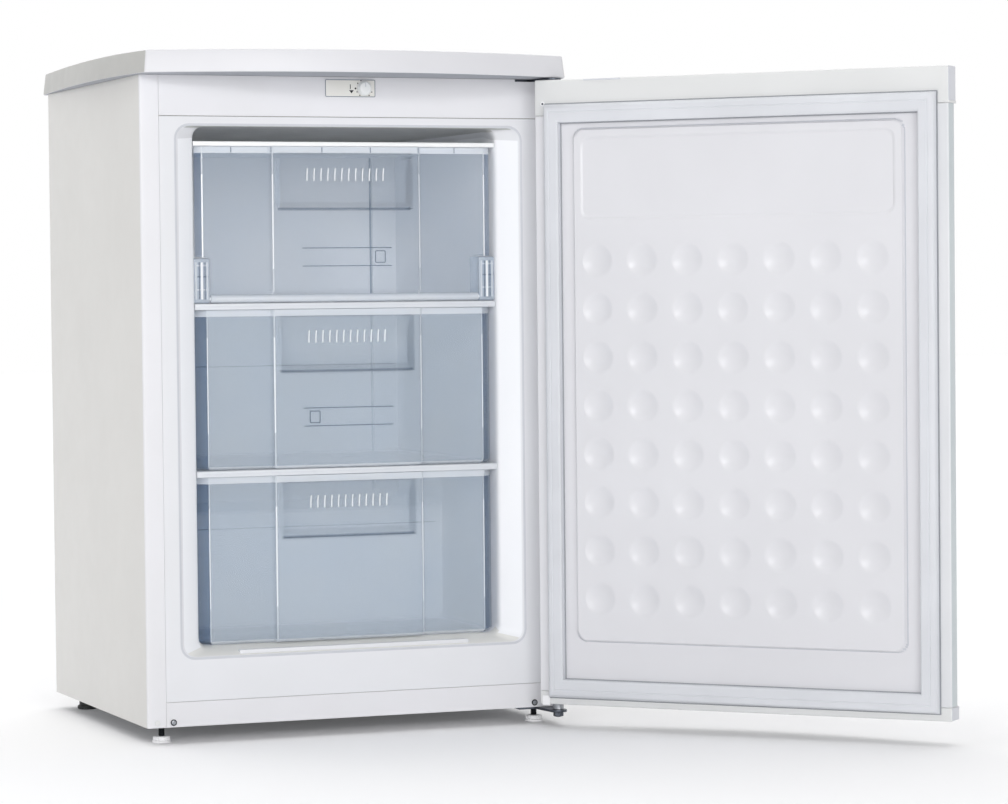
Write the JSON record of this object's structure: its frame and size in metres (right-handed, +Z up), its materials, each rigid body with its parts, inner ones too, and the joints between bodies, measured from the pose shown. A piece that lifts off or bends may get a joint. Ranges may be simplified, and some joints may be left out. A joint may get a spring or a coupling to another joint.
{
  "type": "under-counter upright freezer",
  "caption": "Free-standing under-counter freezer with a bowed worktop, a side-hinged dimpled door, a fold-down clear front flap and clear pull-out drawers.",
  "frame": {"origin": "middle of the whole footprint on the floor, with the door standing open as at rest", "axes": "+Z up, the cabinet faces -Y, +X to the right seen from the front"},
  "size_m": [0.913, 0.9108, 0.85],
  "materials": {
    "white_paint": "satin white powder coat on sheet steel",
    "worktop_laminate": "white laminate over board, satin",
    "white_plastic": "white moulded plastic, satin",
    "liner_plastic": "white vacuum-formed liner, soft gloss",
    "cream_plastic": "off-white moulded plastic, satin",
    "clear_plastic": "clear blue-tinted moulding, polished",
    "gasket_vinyl": "pale grey-white vinyl, satin",
    "edge_strip": "pale blue-grey extrusion, satin",
    "rigid_foam": "rigid polyurethane foam, matte",
    "zinc_steel": "zinc plated steel",
    "dark_steel": "dark grey passivated steel",
    "black_enamel": "black enamel, satin",
    "copper_tube": "bare copper tube",
    "black_plastic": "black moulded plastic",
    "black_rubber": "black rubber, matte"
  },
  "bodies": {
    "cabinet": {"worktop": "worktop_laminate", "left_side_panel": "white_paint", "right_side_panel": "white_paint", "front_top_rail": "white_paint", "front_bottom_rail": "white_paint", "inner_liner": "liner_plastic", "insulation_foam": "rigid_foam", "back_panel": "white_paint", "base_pan": "zinc_steel", "upper_evaporator_shelf": "zinc_steel", "upper_shelf_trim": "white_plastic", "middle_evaporator_shelf": "zinc_steel", "middle_shelf_trim": "white_plastic", "lower_evaporator_shelf": "zinc_steel", "lower_shelf_trim": "white_plastic", "left_flap_bracket": "clear_plastic", "right_flap_bracket": "clear_plastic", "upper_hinge_plate": "dark_steel", "upper_hinge_pin": "zinc_steel", "upper_hinge_screw_1": "zinc_steel", "upper_hinge_screw_2": "zinc_steel", "lower_hinge_bracket": "dark_steel", "lower_hinge_pin": "zinc_steel", "lower_hinge_nut": "zinc_steel", "lower_hinge_screw_1": "zinc_steel", "lower_hinge_screw_2": "zinc_steel", "control_plate": "cream_plastic", "thermostat_body": "black_plastic", "left_rail_screw": "zinc_steel", "right_rail_screw": "zinc_steel", "hole_plug": "white_plastic", "left_rear_foot": "black_plastic", "right_rear_foot": "black_plastic", "compressor": "black_enamel", "compressor_mount_1": "black_rubber", "compressor_mount_2": "black_rubber", "compressor_mount_3": "black_rubber", "compressor_mount_4": "black_rubber", "terminal_box": "black_plastic", "condenser": "black_enamel", "discharge_pipe": "copper_tube", "suction_pipe": "copper_tube", "filter_drier": "copper_tube", "cord_gland": "black_rubber"},
    "door": {"door_outer_panel": "white_paint", "door_handle_strip": "edge_strip", "door_top_cap": "white_plastic", "door_bottom_cap": "white_plastic", "door_liner": "liner_plastic", "door_gasket": "gasket_vinyl", "door_foam": "rigid_foam"},
    "flap": {"flap": "clear_plastic"},
    "middle_drawer": {"middle_drawer": "clear_plastic"},
    "lower_drawer": {"lower_drawer": "clear_plastic"},
    "thermostat_knob": {"thermostat_knob": "cream_plastic"},
    "left_foot": {"left_foot_pad": "white_plastic", "left_foot_stud": "dark_steel"},
    "right_foot": {"right_foot_pad": "white_plastic", "right_foot_stud": "dark_steel"}
  },
  "joints": [
    {"name": "door_hinge", "type": "hinge", "parent": "cabinet", "child": "door", "pos_m": [0.08939, -0.05321, 0.42], "axis": [0, 0, 1], "range_deg": [-133.2, 6.8]},
    {"name": "flap_hinge", "type": "hinge", "parent": "cabinet", "child": "flap", "pos_m": [-0.16861, 0.00789, 0.547], "axis": [1, 0, 0], "range_deg": [0, 90]},
    {"name": "middle_drawer_slide", "type": "slide", "parent": "cabinet", "child": "middle_drawer", "axis": [0, -1, 0], "range_m": [0, 0.3]},
    {"name": "lower_drawer_slide", "type": "slide", "parent": "cabinet", "child": "lower_drawer", "axis": [0, -1, 0], "range_m": [0, 0.16]},
    {"name": "thermostat_turn", "type": "hinge", "parent": "cabinet", "child": "thermostat_knob", "pos_m": [-0.15071, -0.02161, 0.808], "axis": [0, -1, 0], "range_deg": [0, 270]},
    {"name": "left_foot_screw", "type": "slide", "parent": "cabinet", "child": "left_foot", "axis": [0, 0, 1], "range_m": [-0.005, 0.007]},
    {"name": "right_foot_screw", "type": "slide", "parent": "cabinet", "child": "right_foot", "axis": [0, 0, 1], "range_m": [-0.005, 0.007]}
  ]
}
